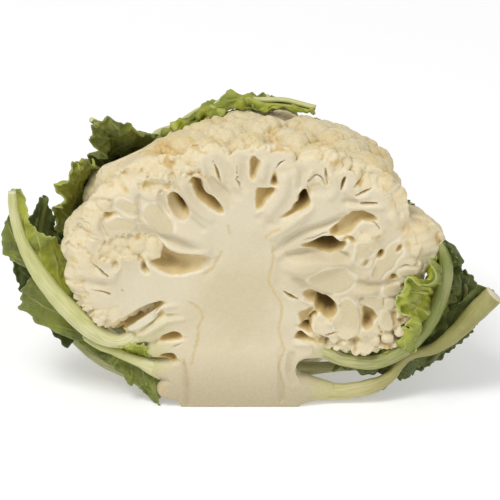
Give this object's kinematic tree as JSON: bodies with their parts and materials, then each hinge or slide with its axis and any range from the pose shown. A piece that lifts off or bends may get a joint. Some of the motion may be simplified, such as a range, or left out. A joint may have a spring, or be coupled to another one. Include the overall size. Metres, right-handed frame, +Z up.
{
  "type": "cauliflower half",
  "caption": "Half a cauliflower cut through the stem, with branching core, lobed curd and trimmed outer leaves, standing on its stem end.",
  "frame": {"origin": "middle of the half-round trimmed stem end, on the surface that the head stands on", "axes": "+Z up along the stem, -Y out of the cut face towards the viewer, +X to the viewer's right along the cut face"},
  "size_m": [0.2253, 0.1141, 0.1324],
  "materials": {
    "head": "moist matt ivory flesh",
    "rib": "smooth pale green stalk",
    "blade": "matt green leaf"
  },
  "bodies": {
    "root": {"head": "head", "leaf_left_main_rib": "rib", "leaf_left_low_rib": "rib", "leaf_left_stub_rib": "rib", "leaf_left_bract_rib": "rib", "leaf_right_inner_rib": "rib", "leaf_right_outer_rib": "rib", "leaf_left_curled_rib": "rib", "leaf_left_back_rib": "rib", "leaf_top_rib": "rib", "leaf_back_middle_rib": "rib", "leaf_right_back_rib": "rib", "leaf_right_side_rib": "rib", "leaf_left_dark_rib": "rib", "leaf_left_main_blade": "blade", "leaf_left_low_blade": "blade", "leaf_right_inner_blade": "blade", "leaf_right_outer_blade": "blade", "leaf_left_curled_blade": "blade", "leaf_left_back_blade": "blade", "leaf_top_blade": "blade", "leaf_back_middle_blade": "blade", "leaf_right_back_blade": "blade", "leaf_right_side_blade": "blade", "leaf_left_dark_blade": "blade"}
  },
  "joints": []
}
